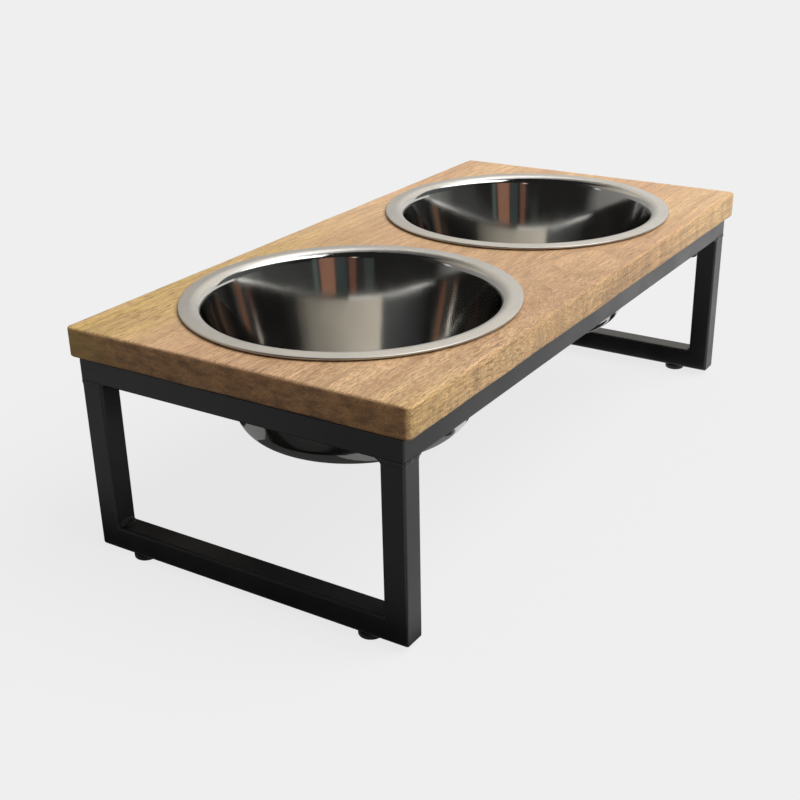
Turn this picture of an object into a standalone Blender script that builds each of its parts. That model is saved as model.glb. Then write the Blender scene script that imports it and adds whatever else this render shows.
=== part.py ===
"""Raised pet feeder: a wooden board with two lift-out steel bowls on a welded square-tube frame.

Metres, +Z up. The origin is on the floor under the middle of the board. X runs along the board's
length, and the front is the side that faces -Y. Left is the -X end.
"""
import math

import bmesh
import bpy
from mathutils import Matrix, Vector

# Clearance between pieces that touch each other
FIT_GAP = 0.0003

# How far a cutter runs past the face that it cuts
CUT_PAST = 0.001

# Bowls, measured from the board's top face down and outwards from the bowl's axis
RIM_RADIUS = 0.087
RIM_WIDTH = 0.0100
RIM_FALL = 0.0008
RIM_BEAD_RADIUS = 0.0009
RIM_CURL_SHARE = 0.9
BOWL_DEPTH = 0.0676
BOWL_DRAFT = math.radians(14.0)
BOWL_CORNER_ROUND = 0.0065
BOWL_LIP_ROUND = 0.0022
BOWL_SHEET = 0.0007
BOWL_SIDES = 48

# Board: its plan is set by the bowls' rims and the wood left round and between them
BETWEEN_RIMS = 0.018
RIM_TO_BOARD_END = 0.0153
RIM_TO_BOARD_SIDE = 0.0112
BOARD_THICKNESS = 0.0155
BOARD_CORNER_ROUND = 0.003
BOARD_EDGE_ROUND = 0.002
HOLE_CLEARANCE = 0.0025
HOLE_EDGE_EASE = 0.001

# Welded frame of square tube
TUBE_SIZE = 0.0127
TUBE_WALL = 0.0012
TUBE_CORNER_ROUND = 0.0013
TUBE_BORE_ROUND = 0.0003
FRAME_INSET_END = 0.0025
FRAME_INSET_SIDE = 0.0043
UNDER_RAIL_HEIGHT = 0.0918
WELD_LEG = 0.0026
WELD_HOLLOW = 0.00015
WELD_END_INSET = 0.0018

# Screws that hold the board down on the top rails
SCREW_SHANK_RADIUS = 0.0021
SCREW_HEAD_RADIUS = 0.0045
SCREW_HEAD_HEIGHT = 0.0031
SCREW_HEAD_ROUND = 0.0012
SCREW_BITE = 0.011
SCREW_TIP = 0.004
SCREW_FROM_RAIL_END = 0.0433
RECESS_SPAN = 0.0044
RECESS_SLOT = 0.0010
RECESS_DEPTH = 0.0013

# Screw-in glides under the bottom bars, and the threaded inserts that they turn in
GLIDE_RADIUS = 0.0062
GLIDE_HEIGHT = 0.0032
GLIDE_EDGE_ROUND = 0.0011
GLIDE_TOP_EASE = 0.0004
GLIDE_FROM_BAR_END = 0.0241
GLIDE_FLOOR = 0.0011
STUD_RADIUS = 0.0025
STUD_REACH = 0.0085
STUD_TIP = 0.0006
STUD_HEAD_FLATS = 0.008
INSERT_RADIUS = 0.0035
INSERT_LENGTH = 0.0088
INSERT_COLLAR_HEIGHT = 0.002
COLLAR_TO_WALL = 0.00055
ROUND_SIDES = 20
SMALL_ROUND_SIDES = 12

# Levels of the stack, from the floor up
BAR_BOTTOM = GLIDE_HEIGHT + FIT_GAP
BAR_MIDDLE = BAR_BOTTOM + TUBE_SIZE / 2
BAR_TOP = BAR_BOTTOM + TUBE_SIZE
RING_BOTTOM = BAR_BOTTOM + UNDER_RAIL_HEIGHT
RING_MIDDLE = RING_BOTTOM + TUBE_SIZE / 2
RING_TOP = RING_BOTTOM + TUBE_SIZE
BOARD_BOTTOM = RING_TOP + FIT_GAP
BOARD_TOP = BOARD_BOTTOM + BOARD_THICKNESS

# Plan of the board and the frame
BOWL_X = RIM_RADIUS + BETWEEN_RIMS / 2
BOARD_LENGTH = 2 * (BOWL_X + RIM_RADIUS + RIM_TO_BOARD_END)
BOARD_WIDTH = 2 * (RIM_RADIUS + RIM_TO_BOARD_SIDE)
FRAME_LENGTH = BOARD_LENGTH - 2 * FRAME_INSET_END
FRAME_WIDTH = BOARD_WIDTH - 2 * FRAME_INSET_SIDE
RAIL_X = FRAME_LENGTH / 2 - TUBE_SIZE / 2
RAIL_Y = FRAME_WIDTH / 2 - TUBE_SIZE / 2
GLIDE_Y = FRAME_WIDTH / 2 - GLIDE_FROM_BAR_END
SCREW_X = FRAME_LENGTH / 2 - SCREW_FROM_RAIL_END

ENDS = {"left": -1, "right": 1}
SIDES = {"front": -1, "back": 1}


def clear_scene():
    for thing in list(bpy.data.objects):
        bpy.data.objects.remove(thing, do_unlink=True)


def material(name, colour, roughness, metallic):
    made = bpy.data.materials.new(name)
    made.use_nodes = True
    shader = made.node_tree.nodes["Principled BSDF"]
    shader.inputs["Base Color"].default_value = (*colour, 1.0)
    shader.inputs["Roughness"].default_value = roughness
    shader.inputs["Metallic"].default_value = metallic
    return made


def link(name, bm, finish, smooth=False):
    """Turn a bmesh into a named object with one material."""
    bmesh.ops.recalc_face_normals(bm, faces=bm.faces)
    mesh = bpy.data.meshes.new(name)
    bm.to_mesh(mesh)
    bm.free()
    if smooth:
        mesh.shade_smooth()
        mesh.set_sharp_from_angle(angle=math.radians(35))
    if finish:
        mesh.materials.append(finish)
    made = bpy.data.objects.new(name, mesh)
    bpy.context.scene.collection.objects.link(made)
    return made


def combine(target, tool, operation):
    """Cut a tool from a piece or join it on, and keep the tool as a wire guide."""
    tool.hide_render = True
    tool.display_type = "WIRE"
    step = target.modifiers.new(tool.name, "BOOLEAN")
    step.operation = operation
    step.solver = "EXACT"
    step.object = tool


def cut(target, cutter):
    combine(target, cutter, "DIFFERENCE")


def turned(bm, outline, sides=ROUND_SIDES, closed=False, place=(0.0, 0.0, 0.0)):
    """Spin an outline of (radius, height) points about an upright axis through place."""
    x, y, z = place
    points = [bm.verts.new((x + radius, y, z + height)) for radius, height in outline]
    edges = [bm.edges.new(pair) for pair in zip(points, points[1:])]
    if closed:
        edges.append(bm.edges.new((points[-1], points[0])))
    before = set(bm.verts) - set(points)
    bmesh.ops.spin(bm, geom=points + edges, cent=(x, y, z), axis=(0, 0, 1),
                   angle=2 * math.pi, steps=sides, use_merge=True)
    fresh = [vert for vert in bm.verts if vert not in before]
    bmesh.ops.remove_doubles(bm, verts=fresh, dist=1e-6)


def arc(centre, radius, start, end, steps):
    """Points along an arc, with both ends, for angles in degrees."""
    points = []
    for step in range(steps + 1):
        angle = math.radians(start + (end - start) * step / steps)
        points.append((centre[0] + radius * math.cos(angle), centre[1] + radius * math.sin(angle)))
    return points


def rounded_path(corners):
    """A path through (x, y, radius, steps) corners, each one rounded off with an arc."""
    path = []
    for index, (x, y, radius, steps) in enumerate(corners):
        here = Vector((x, y))
        if radius == 0:
            path.append(here)
            continue
        back = (Vector(corners[index - 1][:2]) - here).normalized()
        ahead = (Vector(corners[index + 1][:2]) - here).normalized()
        half = back.angle(ahead) / 2
        centre = here + (back + ahead).normalized() * (radius / math.sin(half))
        first = here + back * (radius / math.tan(half)) - centre
        last = here + ahead * (radius / math.tan(half)) - centre
        sweep = first.angle_signed(last)
        for step in range(steps + 1):
            turn = Matrix.Rotation(-sweep * step / steps, 2)
            path.append(centre + turn @ first)
    return path


def sheet_outline(path, thickness):
    """The closed outline of a sheet that follows a path, half its thickness to each side."""
    near, far = [], []
    for index, point in enumerate(path):
        before = path[max(index - 1, 0)]
        after = path[min(index + 1, len(path) - 1)]
        along = (after - before).normalized()
        across = Vector((-along.y, along.x)) * (thickness / 2)
        near.append(point + across)
        far.append(point - across)
    return near, far


def rounded_square(size, radius, steps):
    """The corners of a square cross-section with rounded edges, as (y, z) pairs."""
    reach = size / 2 - radius
    points = []
    for quarter, (y, z) in enumerate(((reach, reach), (-reach, reach), (-reach, -reach), (reach, -reach))):
        points += arc((y, z), radius, 90 * quarter, 90 * quarter + 90, steps)
    return points


def square_tube(name, length, start_cut, end_cut, finish):
    """A tube along local X, centred on its axis.

    A cut is None for a square end, or the (y, z) direction of the side that a mitre shortens.
    """
    mitre_back = FIT_GAP / 2 * math.sqrt(2)

    def end_at(half, slope, y, z):
        if slope is None:
            return half
        return half - mitre_back - (TUBE_SIZE / 2 + slope[0] * y + slope[1] * z)

    bm = bmesh.new()
    outer = rounded_square(TUBE_SIZE, TUBE_CORNER_ROUND, 3)
    inner = rounded_square(TUBE_SIZE - 2 * TUBE_WALL, TUBE_BORE_ROUND, 3)
    rings = []
    for section in (outer, inner):
        first = [bm.verts.new((-end_at(length / 2, start_cut, y, z), y, z)) for y, z in section]
        last = [bm.verts.new((end_at(length / 2, end_cut, y, z), y, z)) for y, z in section]
        rings.append((first, last))
    count = len(outer)
    for here in range(count):
        beyond = (here + 1) % count
        for first, last in rings:
            bm.faces.new((first[here], first[beyond], last[beyond], last[here]))
        for end in (0, 1):
            rim, bore = rings[0][end], rings[1][end]
            bm.faces.new((rim[here], rim[beyond], bore[beyond], bore[here]))
    return link(name, bm, finish, smooth=True)


def make_board(finish):
    bm = bmesh.new()
    bmesh.ops.create_cube(bm, size=1.0)
    bmesh.ops.scale(bm, vec=(BOARD_LENGTH, BOARD_WIDTH, BOARD_THICKNESS), verts=bm.verts)
    upright = [edge for edge in bm.edges
               if abs(edge.verts[0].co.z - edge.verts[1].co.z) > BOARD_THICKNESS / 2]
    bmesh.ops.bevel(bm, geom=upright, offset=BOARD_CORNER_ROUND, segments=4, profile=0.5, affect="EDGES")
    outline = [edge for edge in bm.edges if abs(edge.verts[0].co.z - edge.verts[1].co.z) < 1e-7]
    bmesh.ops.bevel(bm, geom=outline, offset=BOARD_EDGE_ROUND, segments=3, profile=0.5, affect="EDGES")
    board = link("board", bm, finish, smooth=True)
    board.location = (0.0, 0.0, BOARD_BOTTOM + BOARD_THICKNESS / 2)
    cut(board, bowl_hole_cutter())
    cut(board, pilot_hole_cutter())


def bowl_wall_radius():
    """Outer radius of a bowl's wall where it passes the board's top face."""
    return RIM_RADIUS - RIM_WIDTH + BOWL_SHEET / 2


def bowl_hole_cutter():
    """Two round cutters that flare a little at the board's faces to ease the holes' edges."""
    radius = bowl_wall_radius() + HOLE_CLEARANCE
    half = BOARD_THICKNESS / 2
    ease = HOLE_EDGE_EASE
    past = half + CUT_PAST
    flare = radius + ease + CUT_PAST
    outline = [(0, -past), (flare, -past), (radius, ease - half),
               (radius, half - ease), (flare, past), (0, past)]
    bm = bmesh.new()
    for side in ENDS.values():
        turned(bm, outline, BOWL_SIDES, place=(side * BOWL_X, 0.0, BOARD_BOTTOM + half))
    return link("cutter_bowl_holes", bm, None)


def screw_places():
    """Where the screws stand in plan: two on each long rail."""
    places = {}
    for end, x in ENDS.items():
        for side, y in SIDES.items():
            places["%s_%s" % (side, end)] = (x * SCREW_X, y * RAIL_Y)
    return places


def pilot_hole_cutter():
    radius = SCREW_SHANK_RADIUS + FIT_GAP
    top = SCREW_BITE + FIT_GAP
    outline = [(0, -CUT_PAST), (radius, -CUT_PAST), (radius, top - SCREW_TIP), (FIT_GAP, top), (0, top)]
    bm = bmesh.new()
    for x, y in screw_places().values():
        turned(bm, outline, SMALL_ROUND_SIDES, place=(x, y, BOARD_BOTTOM))
    return link("cutter_pilot_holes", bm, None)


def bowl_outline():
    """Half section of a bowl, from the axis under the bottom, round the rim, to the axis inside."""
    wall_top = RIM_RADIUS - RIM_WIDTH
    half = BOWL_SHEET / 2
    bottom = -BOWL_DEPTH + half
    bead = RIM_BEAD_RADIUS - half
    curl = bead * RIM_CURL_SHARE
    rim_foot = FIT_GAP + half
    rim_end = RIM_RADIUS - half
    rim_low = rim_foot + 2 * bead
    rim_high = rim_low + RIM_FALL
    bottom_corner = wall_top - (rim_high - bottom) * math.tan(BOWL_DRAFT)
    path = rounded_path([
        (0, bottom, 0, 0),
        (bottom_corner, bottom, BOWL_CORNER_ROUND, 4),
        (wall_top, rim_high, BOWL_LIP_ROUND, 3),
        (rim_end, rim_low, curl, 2),
        (rim_end, rim_foot, curl, 2),
        (rim_end - 2 * bead, rim_foot, 0, 0),
    ])
    inside, outside = sheet_outline(path, BOWL_SHEET)
    inside[0].x = 0.0
    outside[0].x = 0.0
    return outside + inside[::-1]


def make_bowl(end, finish):
    bm = bmesh.new()
    turned(bm, bowl_outline(), BOWL_SIDES)
    bowl = link("bowl_" + end, bm, finish, smooth=True)
    bowl.location = (ENDS[end] * BOWL_X, 0.0, BOARD_TOP)


def make_rails(finish):
    """Four mitred tubes that form the ring under the board."""
    inward = (1, 0)
    plan = {
        "front_rail": (FRAME_LENGTH, (0.0, -RAIL_Y), 0),
        "back_rail": (FRAME_LENGTH, (0.0, RAIL_Y), 180),
        "left_rail": (FRAME_WIDTH, (-RAIL_X, 0.0), -90),
        "right_rail": (FRAME_WIDTH, (RAIL_X, 0.0), 90),
    }
    holes = screw_hole_cutter()
    for name, (length, (x, y), turn) in plan.items():
        rail = square_tube(name, length, inward, inward, finish)
        rail.location = (x, y, RING_MIDDLE)
        rail.rotation_euler = (0.0, 0.0, math.radians(turn))
        cut(rail, holes)


def screw_hole_cutter():
    radius = SCREW_SHANK_RADIUS + FIT_GAP
    top = TUBE_SIZE + CUT_PAST
    outline = [(0, -CUT_PAST), (radius, -CUT_PAST), (radius, top), (0, top)]
    bm = bmesh.new()
    for x, y in screw_places().values():
        turned(bm, outline, SMALL_ROUND_SIDES, place=(x, y, RING_BOTTOM))
    return link("cutter_screw_holes", bm, None)


def make_legs(finish):
    """Four upright tubes, square at the top and mitred into the bottom bars."""
    top = RING_BOTTOM - FIT_GAP
    height = top - BAR_BOTTOM
    for end, x in ENDS.items():
        for side, y in SIDES.items():
            leg = square_tube("leg_%s_%s" % (side, end), height, (-y, 0), None, finish)
            leg.location = (x * RAIL_X, y * RAIL_Y, BAR_BOTTOM + height / 2)
            leg.rotation_euler = (0.0, math.radians(-90), 0.0)


def make_bars(finish):
    """Two bottom bars that close each pair of legs into a U, drilled for the glides' inserts."""
    holes = insert_hole_cutter()
    for end, x in ENDS.items():
        bar = square_tube("base_bar_" + end, FRAME_WIDTH, (0, 1), (0, 1), finish)
        bar.location = (x * RAIL_X, 0.0, BAR_MIDDLE)
        bar.rotation_euler = (0.0, 0.0, math.radians(90))
        cut(bar, holes)


def insert_hole_cutter():
    radius = INSERT_RADIUS + FIT_GAP
    top = TUBE_WALL + CUT_PAST
    outline = [(0, -CUT_PAST), (radius, -CUT_PAST), (radius, top), (0, top)]
    bm = bmesh.new()
    for x in ENDS.values():
        for y in SIDES.values():
            turned(bm, outline, ROUND_SIDES, place=(x * RAIL_X, y * GLIDE_Y, BAR_BOTTOM))
    return link("cutter_insert_holes", bm, None)


def weld_section():
    """Cross-section of a fillet weld, as distances from the two faces that it joins."""
    near, far = FIT_GAP, FIT_GAP + WELD_LEG
    shallow = near + WELD_LEG / 3 - WELD_HOLLOW
    steep = near + WELD_LEG * 2 / 3 - WELD_HOLLOW
    return [(near, near), (far, near), (steep, shallow), (shallow, steep), (near, far)]


def make_weld(name, stations, finish):
    """A weld swept through stations, each a list of points round the same section."""
    bm = bmesh.new()
    rings = [[bm.verts.new(point) for point in station] for station in stations]
    for first, last in zip(rings, rings[1:]):
        for here in range(len(first)):
            beyond = (here + 1) % len(first)
            bm.faces.new((first[here], first[beyond], last[beyond], last[here]))
    bm.faces.new(rings[0])
    bm.faces.new(rings[-1])
    link(name, bm, finish)


def make_welds(finish):
    """At each leg, a weld round its inner corner under the rails and one in its corner with the bar."""
    half = TUBE_SIZE / 2
    reach = half - WELD_END_INSET
    section = weld_section()
    for end, x in ENDS.items():
        for side, y in SIDES.items():
            leg = Vector((x * RAIL_X, y * RAIL_Y, 0))
            in_x = Vector((-x, 0, 0))
            in_y = Vector((0, -y, 0))

            def under_ring(offset):
                return [leg + offset(half + out) + Vector((0, 0, RING_BOTTOM - down))
                        for out, down in section]

            stations = [under_ring(lambda out: in_x * out - in_y * reach),
                        under_ring(lambda out: in_x * out + in_y * out),
                        under_ring(lambda out: in_y * out - in_x * reach)]
            make_weld("weld_leg_%s_%s" % (side, end), stations, finish)
            on_bar = [[leg + in_y * (half + out) + in_x * (way * reach) + Vector((0, 0, BAR_TOP + up))
                       for out, up in section] for way in (-1, 1)]
            make_weld("weld_bar_%s_%s" % (side, end), on_bar, finish)


def make_screws(finish):
    """Pan-head wood screws, driven up through the rails into the board's underside."""
    tip = BOARD_BOTTOM + SCREW_BITE - (RING_BOTTOM - FIT_GAP)
    round_centre = (SCREW_HEAD_RADIUS - SCREW_HEAD_ROUND, SCREW_HEAD_ROUND - SCREW_HEAD_HEIGHT)
    crown = [(0, -SCREW_HEAD_HEIGHT)] + arc(round_centre, SCREW_HEAD_ROUND, -90, 0, 2)
    crown.append((SCREW_HEAD_RADIUS, 0))
    shank = [(SCREW_SHANK_RADIUS, 0), (SCREW_SHANK_RADIUS, tip - SCREW_TIP), (0, tip)]
    for place, (x, y) in screw_places().items():
        bm = bmesh.new()
        turned(bm, crown + shank, SMALL_ROUND_SIDES)
        screw = link("screw_" + place, bm, finish, smooth=True)
        recess = link("cutter_recess_" + place, cross_recess(), None)
        screw.location = (x, y, RING_BOTTOM - FIT_GAP)
        recess.location = screw.location
        cut(screw, recess)


def cross_recess():
    """A plus-shaped bar that cuts the driver's recess into a screw head from below."""
    long, short = RECESS_SPAN / 2, RECESS_SLOT / 2
    arm = [(short, long), (short, short), (long, short)]
    outline = []
    for quarter in range(4):
        turn = Matrix.Rotation(math.radians(-90 * quarter), 2)
        outline += [turn @ Vector(point) for point in arm]
    return prism(outline, -SCREW_HEAD_HEIGHT - CUT_PAST, -SCREW_HEAD_HEIGHT + RECESS_DEPTH)


def prism(outline, low, high):
    """An upright prism between two heights over an outline of (x, y) points."""
    bm = bmesh.new()
    bottom = [bm.verts.new((x, y, low)) for x, y in outline]
    top = [bm.verts.new((x, y, high)) for x, y in outline]
    bm.faces.new(bottom)
    bm.faces.new(top)
    for here in range(len(outline)):
        beyond = (here + 1) % len(outline)
        bm.faces.new((bottom[here], bottom[beyond], top[beyond], top[here]))
    return bm


def hexagon(flats):
    """The corners of a six-sided outline, measured across its flats."""
    return arc((0, 0), flats / 2 / math.cos(math.radians(30)), 0, 300, 5)


def make_pad(corner, finish):
    """A round nylon pad with a six-sided pocket for the stud's head."""
    round_centre = (GLIDE_RADIUS - GLIDE_EDGE_ROUND, GLIDE_EDGE_ROUND)
    edge = arc(round_centre, GLIDE_EDGE_ROUND, -90, 0, 3)
    eased = GLIDE_HEIGHT - GLIDE_TOP_EASE
    outline = [(0, 0)] + edge + [(GLIDE_RADIUS, eased), (GLIDE_RADIUS - GLIDE_TOP_EASE, GLIDE_HEIGHT),
                                 (0, GLIDE_HEIGHT)]
    bm = bmesh.new()
    turned(bm, outline)
    pad = link("glide_" + corner, bm, finish, smooth=True)
    pocket_shape = prism(hexagon(STUD_HEAD_FLATS + 2 * FIT_GAP), GLIDE_FLOOR, GLIDE_HEIGHT + CUT_PAST)
    pocket = link("cutter_pocket_" + corner, pocket_shape, None)
    cut(pad, pocket)
    pocket.parent = pad
    return pad


def make_stud(corner, finish):
    """A hexagon-headed machine screw that stands up out of the pad."""
    head_low = GLIDE_FLOOR + FIT_GAP
    head_high = GLIDE_HEIGHT - FIT_GAP
    inside_head = (head_low + head_high) / 2
    end = GLIDE_HEIGHT + STUD_REACH
    bm = bmesh.new()
    turned(bm, [(0, inside_head), (STUD_RADIUS, inside_head), (STUD_RADIUS, end - STUD_TIP),
                (STUD_RADIUS - STUD_TIP, end), (0, end)], SMALL_ROUND_SIDES)
    stud = link("glide_stud_" + corner, bm, finish, smooth=True)
    head = link("tool_head_" + corner, prism(hexagon(STUD_HEAD_FLATS), head_low, head_high), None)
    combine(stud, head, "UNION")
    head.parent = stud
    return stud


def make_insert(corner, finish):
    """A rivet nut set in the bar's lower wall: a threaded sleeve with its collapsed collar."""
    bore = STUD_RADIUS + FIT_GAP
    collar_low = TUBE_WALL + FIT_GAP
    collar_high = collar_low + INSERT_COLLAR_HEIGHT
    collar = TUBE_SIZE / 2 - TUBE_WALL - COLLAR_TO_WALL
    outline = [(bore, 0), (INSERT_RADIUS, 0), (INSERT_RADIUS, collar_low), (collar, collar_low),
               (collar, collar_high), (INSERT_RADIUS, collar_high),
               (INSERT_RADIUS, INSERT_LENGTH), (bore, INSERT_LENGTH)]
    bm = bmesh.new()
    turned(bm, outline, SMALL_ROUND_SIDES, closed=True, place=(0.0, 0.0, BAR_BOTTOM))
    return link("glide_insert_" + corner, bm, finish, smooth=True)


def make_glides(nylon, steel):
    """Four pads with their studs, and the inserts in the bars above them."""
    for end, x in ENDS.items():
        for side, y in SIDES.items():
            place = (x * RAIL_X, y * GLIDE_Y, 0.0)
            axis = bpy.data.objects.new("glide_axis_%s_%s" % (side, end), None)
            bpy.context.scene.collection.objects.link(axis)
            axis.location = place
            corner = "%s_%s" % (side, end)
            pieces = [make_pad(corner, nylon), make_stud(corner, steel), make_insert(corner, steel)]
            for piece in pieces:
                piece.parent = axis


def main():
    clear_scene()
    wood = material("wood", (0.52, 0.33, 0.19), 0.55, 0.0)
    bowl_steel = material("bowl_steel", (0.56, 0.55, 0.53), 0.22, 1.0)
    black_coat = material("black_powder_coat", (0.012, 0.012, 0.013), 0.5, 0.0)
    zinc = material("zinc_plated_steel", (0.55, 0.56, 0.58), 0.35, 1.0)
    black_zinc = material("black_screw", (0.03, 0.03, 0.032), 0.4, 0.6)
    nylon = material("black_nylon", (0.015, 0.015, 0.015), 0.6, 0.0)
    make_board(wood)
    for end in ENDS:
        make_bowl(end, bowl_steel)
    make_rails(black_coat)
    make_legs(black_coat)
    make_bars(black_coat)
    make_welds(black_coat)
    make_screws(black_zinc)
    make_glides(nylon, zinc)


main()
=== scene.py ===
"""Raised pet feeder: the looks of its board, bowls, welded stand, screws and glides.

Metres, +Z up. X runs along the board, the front is the side that faces -Y, and left is the -X end.
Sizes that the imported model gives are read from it. The others are the settings of each piece, and
small details have their names where they are used.
"""
import math

import bmesh
import bpy
from bpy.props import FloatProperty, FloatVectorProperty, PointerProperty
from bpy.types import Operator, Panel, PropertyGroup
from mathutils import Matrix, Vector, noise


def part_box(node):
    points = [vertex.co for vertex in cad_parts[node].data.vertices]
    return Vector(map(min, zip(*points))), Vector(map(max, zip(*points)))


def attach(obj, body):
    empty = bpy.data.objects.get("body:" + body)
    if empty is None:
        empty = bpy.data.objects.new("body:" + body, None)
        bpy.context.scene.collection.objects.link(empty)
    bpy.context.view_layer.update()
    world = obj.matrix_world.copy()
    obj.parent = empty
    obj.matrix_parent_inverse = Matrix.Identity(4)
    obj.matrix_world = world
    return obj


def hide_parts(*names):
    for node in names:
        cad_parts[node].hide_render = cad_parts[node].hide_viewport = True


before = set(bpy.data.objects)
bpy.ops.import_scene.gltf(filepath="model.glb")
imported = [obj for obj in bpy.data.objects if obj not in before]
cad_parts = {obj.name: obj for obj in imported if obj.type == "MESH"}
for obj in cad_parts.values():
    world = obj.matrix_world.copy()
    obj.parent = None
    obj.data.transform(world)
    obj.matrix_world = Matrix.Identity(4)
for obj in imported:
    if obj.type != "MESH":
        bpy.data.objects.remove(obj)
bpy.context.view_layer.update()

bl_info = {
    "name": "Raised Pet Feeder",
    "version": (1, 0, 0),
    "blender": (4, 5, 0),
    "location": "View3D > Sidebar > Pet Feeder",
    "description": "Builds the visible pieces of a raised pet feeder round its packed model",
    "category": "Object",
}

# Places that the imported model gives
BOARD_LOW, BOARD_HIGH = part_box("board")
BOWL_LOW, BOWL_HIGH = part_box("bowl_right")
RAIL_LOW, RAIL_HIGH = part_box("front_rail")
BAR_LOW, BAR_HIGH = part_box("base_bar_right")
PAD_LOW, PAD_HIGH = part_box("glide_front_right")
STUD_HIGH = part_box("glide_stud_front_right")[1]
INSERT_LOW, INSERT_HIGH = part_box("glide_insert_front_right")

BOARD_SIZE = BOARD_HIGH - BOARD_LOW
BOWL_X = (BOWL_LOW.x + BOWL_HIGH.x) / 2
RIM_RADIUS = (BOWL_HIGH.x - BOWL_LOW.x) / 2
TUBE = RAIL_HIGH.z - RAIL_LOW.z
RAIL_X = BAR_HIGH.x - TUBE / 2
RAIL_Y = -RAIL_LOW.y - TUBE / 2
RING_MIDDLE = (RAIL_LOW.z + RAIL_HIGH.z) / 2
BAR_MIDDLE = (BAR_LOW.z + BAR_HIGH.z) / 2
GLIDE_Y = -(PAD_LOW.y + PAD_HIGH.y) / 2

ENDS = {"left": -1, "right": 1}
SIDES = {"front": -1, "back": 1}
CORNERS = {"%s_%s" % (side, end): (x, y) for end, x in ENDS.items() for side, y in SIDES.items()}
# The four quarters of a plan, anticlockwise from the one at +X and +Y
QUARTERS = ((1, 1), (-1, 1), (-1, -1), (1, -1))

# How finely round shapes are cut
BOWL_SIDES = 160
HOLE_SIDES = 128
FLOOR_SIDES = 96
PAD_SIDES = 64
SCREW_SIDES = 48
BORE_SIDES = 48
STUD_SIDES = 32

# How far below the bar a glide's hole starts, and how far past the insert it ends
DRILL_START = 0.001
DRILL_PAST = 0.0005

# How far a welded piece reaches into its neighbour, so that no gap shows at the joint
WELD_SINK = 0.0006


# Settings of each piece

def length(name, description, default):
    return FloatProperty(name=name, description=description, default=default, min=0.0, unit="LENGTH")


def share(name, description, default):
    return FloatProperty(name=name, description=description, default=default, min=0.0, max=1.0,
                         subtype="FACTOR")


def angle(name, description, default):
    return FloatProperty(name=name, description=description, default=math.radians(default), subtype="ANGLE")


def level(name, description, default):
    return FloatProperty(name=name, description=description, default=default, min=0.0)


def colour(name, description, default):
    return FloatVectorProperty(name=name, description=description, default=default, min=0.0, max=1.0,
                               size=3, subtype="COLOR")


class BoardSettings(PropertyGroup):
    """The wooden board."""
    corner_round: length("Corner round", "Radius of the board's corners seen from above", 0.0032)
    edge_round: length("Edge round", "Radius of the sanded long edges and end edges", 0.0015)
    edge_wander: share("Edge wander", "How much the sanded radius varies along the edges", 0.45)
    hole_radius: length("Hole radius", "Radius of the holes that the bowls drop through", 0.07985)
    hole_round: length("Hole round", "Radius of the eased edges of the holes", 0.0012)
    support_reach: length("Support reach", "How far inside its edges a flat face starts", 0.0005)
    pale: colour("Pale wood", "Lightest tan of the wood", (0.70, 0.455, 0.245))
    rosy: colour("Rosy wood", "Pinkish tan between the bowls", (0.58, 0.35, 0.195))
    golden: colour("Golden wood", "Yellower zone along the back edge", (0.62, 0.42, 0.135))
    streak: colour("Streaks", "Brown of the growth lines and grain streaks", (0.36, 0.20, 0.10))
    pore: colour("Pores", "Dark brown of the open pores", (0.13, 0.065, 0.032))
    end_grain: colour("End grain", "Brown of the sawn ends", (0.56, 0.29, 0.120))


class BowlSettings(PropertyGroup):
    """The two steel bowls."""
    rim_width: length("Rim width", "Width of the flat rim round the bowl", 0.0100)
    rim_fall: length("Rim fall", "How far the rim drops from its inner to its outer edge", 0.0008)
    rim_bead: length("Rim bead", "Radius of the rolled outer edge", 0.00062)
    draft: angle("Draft", "Slope of the bowl's wall", 14.0)
    corner_round: length("Corner round", "Radius between the wall and the bottom", 0.0135)
    lip_round: length("Lip round", "Radius between the rim and the wall", 0.0055)
    sheet: length("Sheet", "Thickness of the steel", 0.0007)
    support_reach: length("Support reach", "How near to a bend the flat steel starts", 0.0004)
    support_spacing: length("Support spacing", "Spacing of the rows of points on flat steel", 0.008)
    tint: colour("Steel", "Colour of the steel", (0.563, 0.56, 0.545))
    inside_roughness: share("Inside roughness", "Roughness of the polished inside", 0.095)
    rim_roughness: share("Rim roughness", "Roughness of the satin rim", 0.36)
    outside_roughness: share("Outside roughness", "Roughness of the satin outside", 0.50)


class StandSettings(PropertyGroup):
    """The welded square-tube stand."""
    tube_round: length("Tube round", "Radius of the tube's edges", 0.0013)
    mitre_round: length("Mitre round", "Radius ground on the mitred corners", 0.0009)
    weld_leg: length("Weld size", "Leg length of the fillet welds", 0.0026)
    weld_ridge: length("Weld ridge", "How proud the dressed outer weld stands", 0.00028)
    weld_ripple: length("Weld ripple", "Spacing of the ripples along a weld", 0.0017)
    coat: colour("Powder coat", "Colour of the black powder coat", (0.0068, 0.0070, 0.0073))
    coat_roughness: share("Coat roughness", "Roughness of the powder coat", 0.40)


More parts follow.
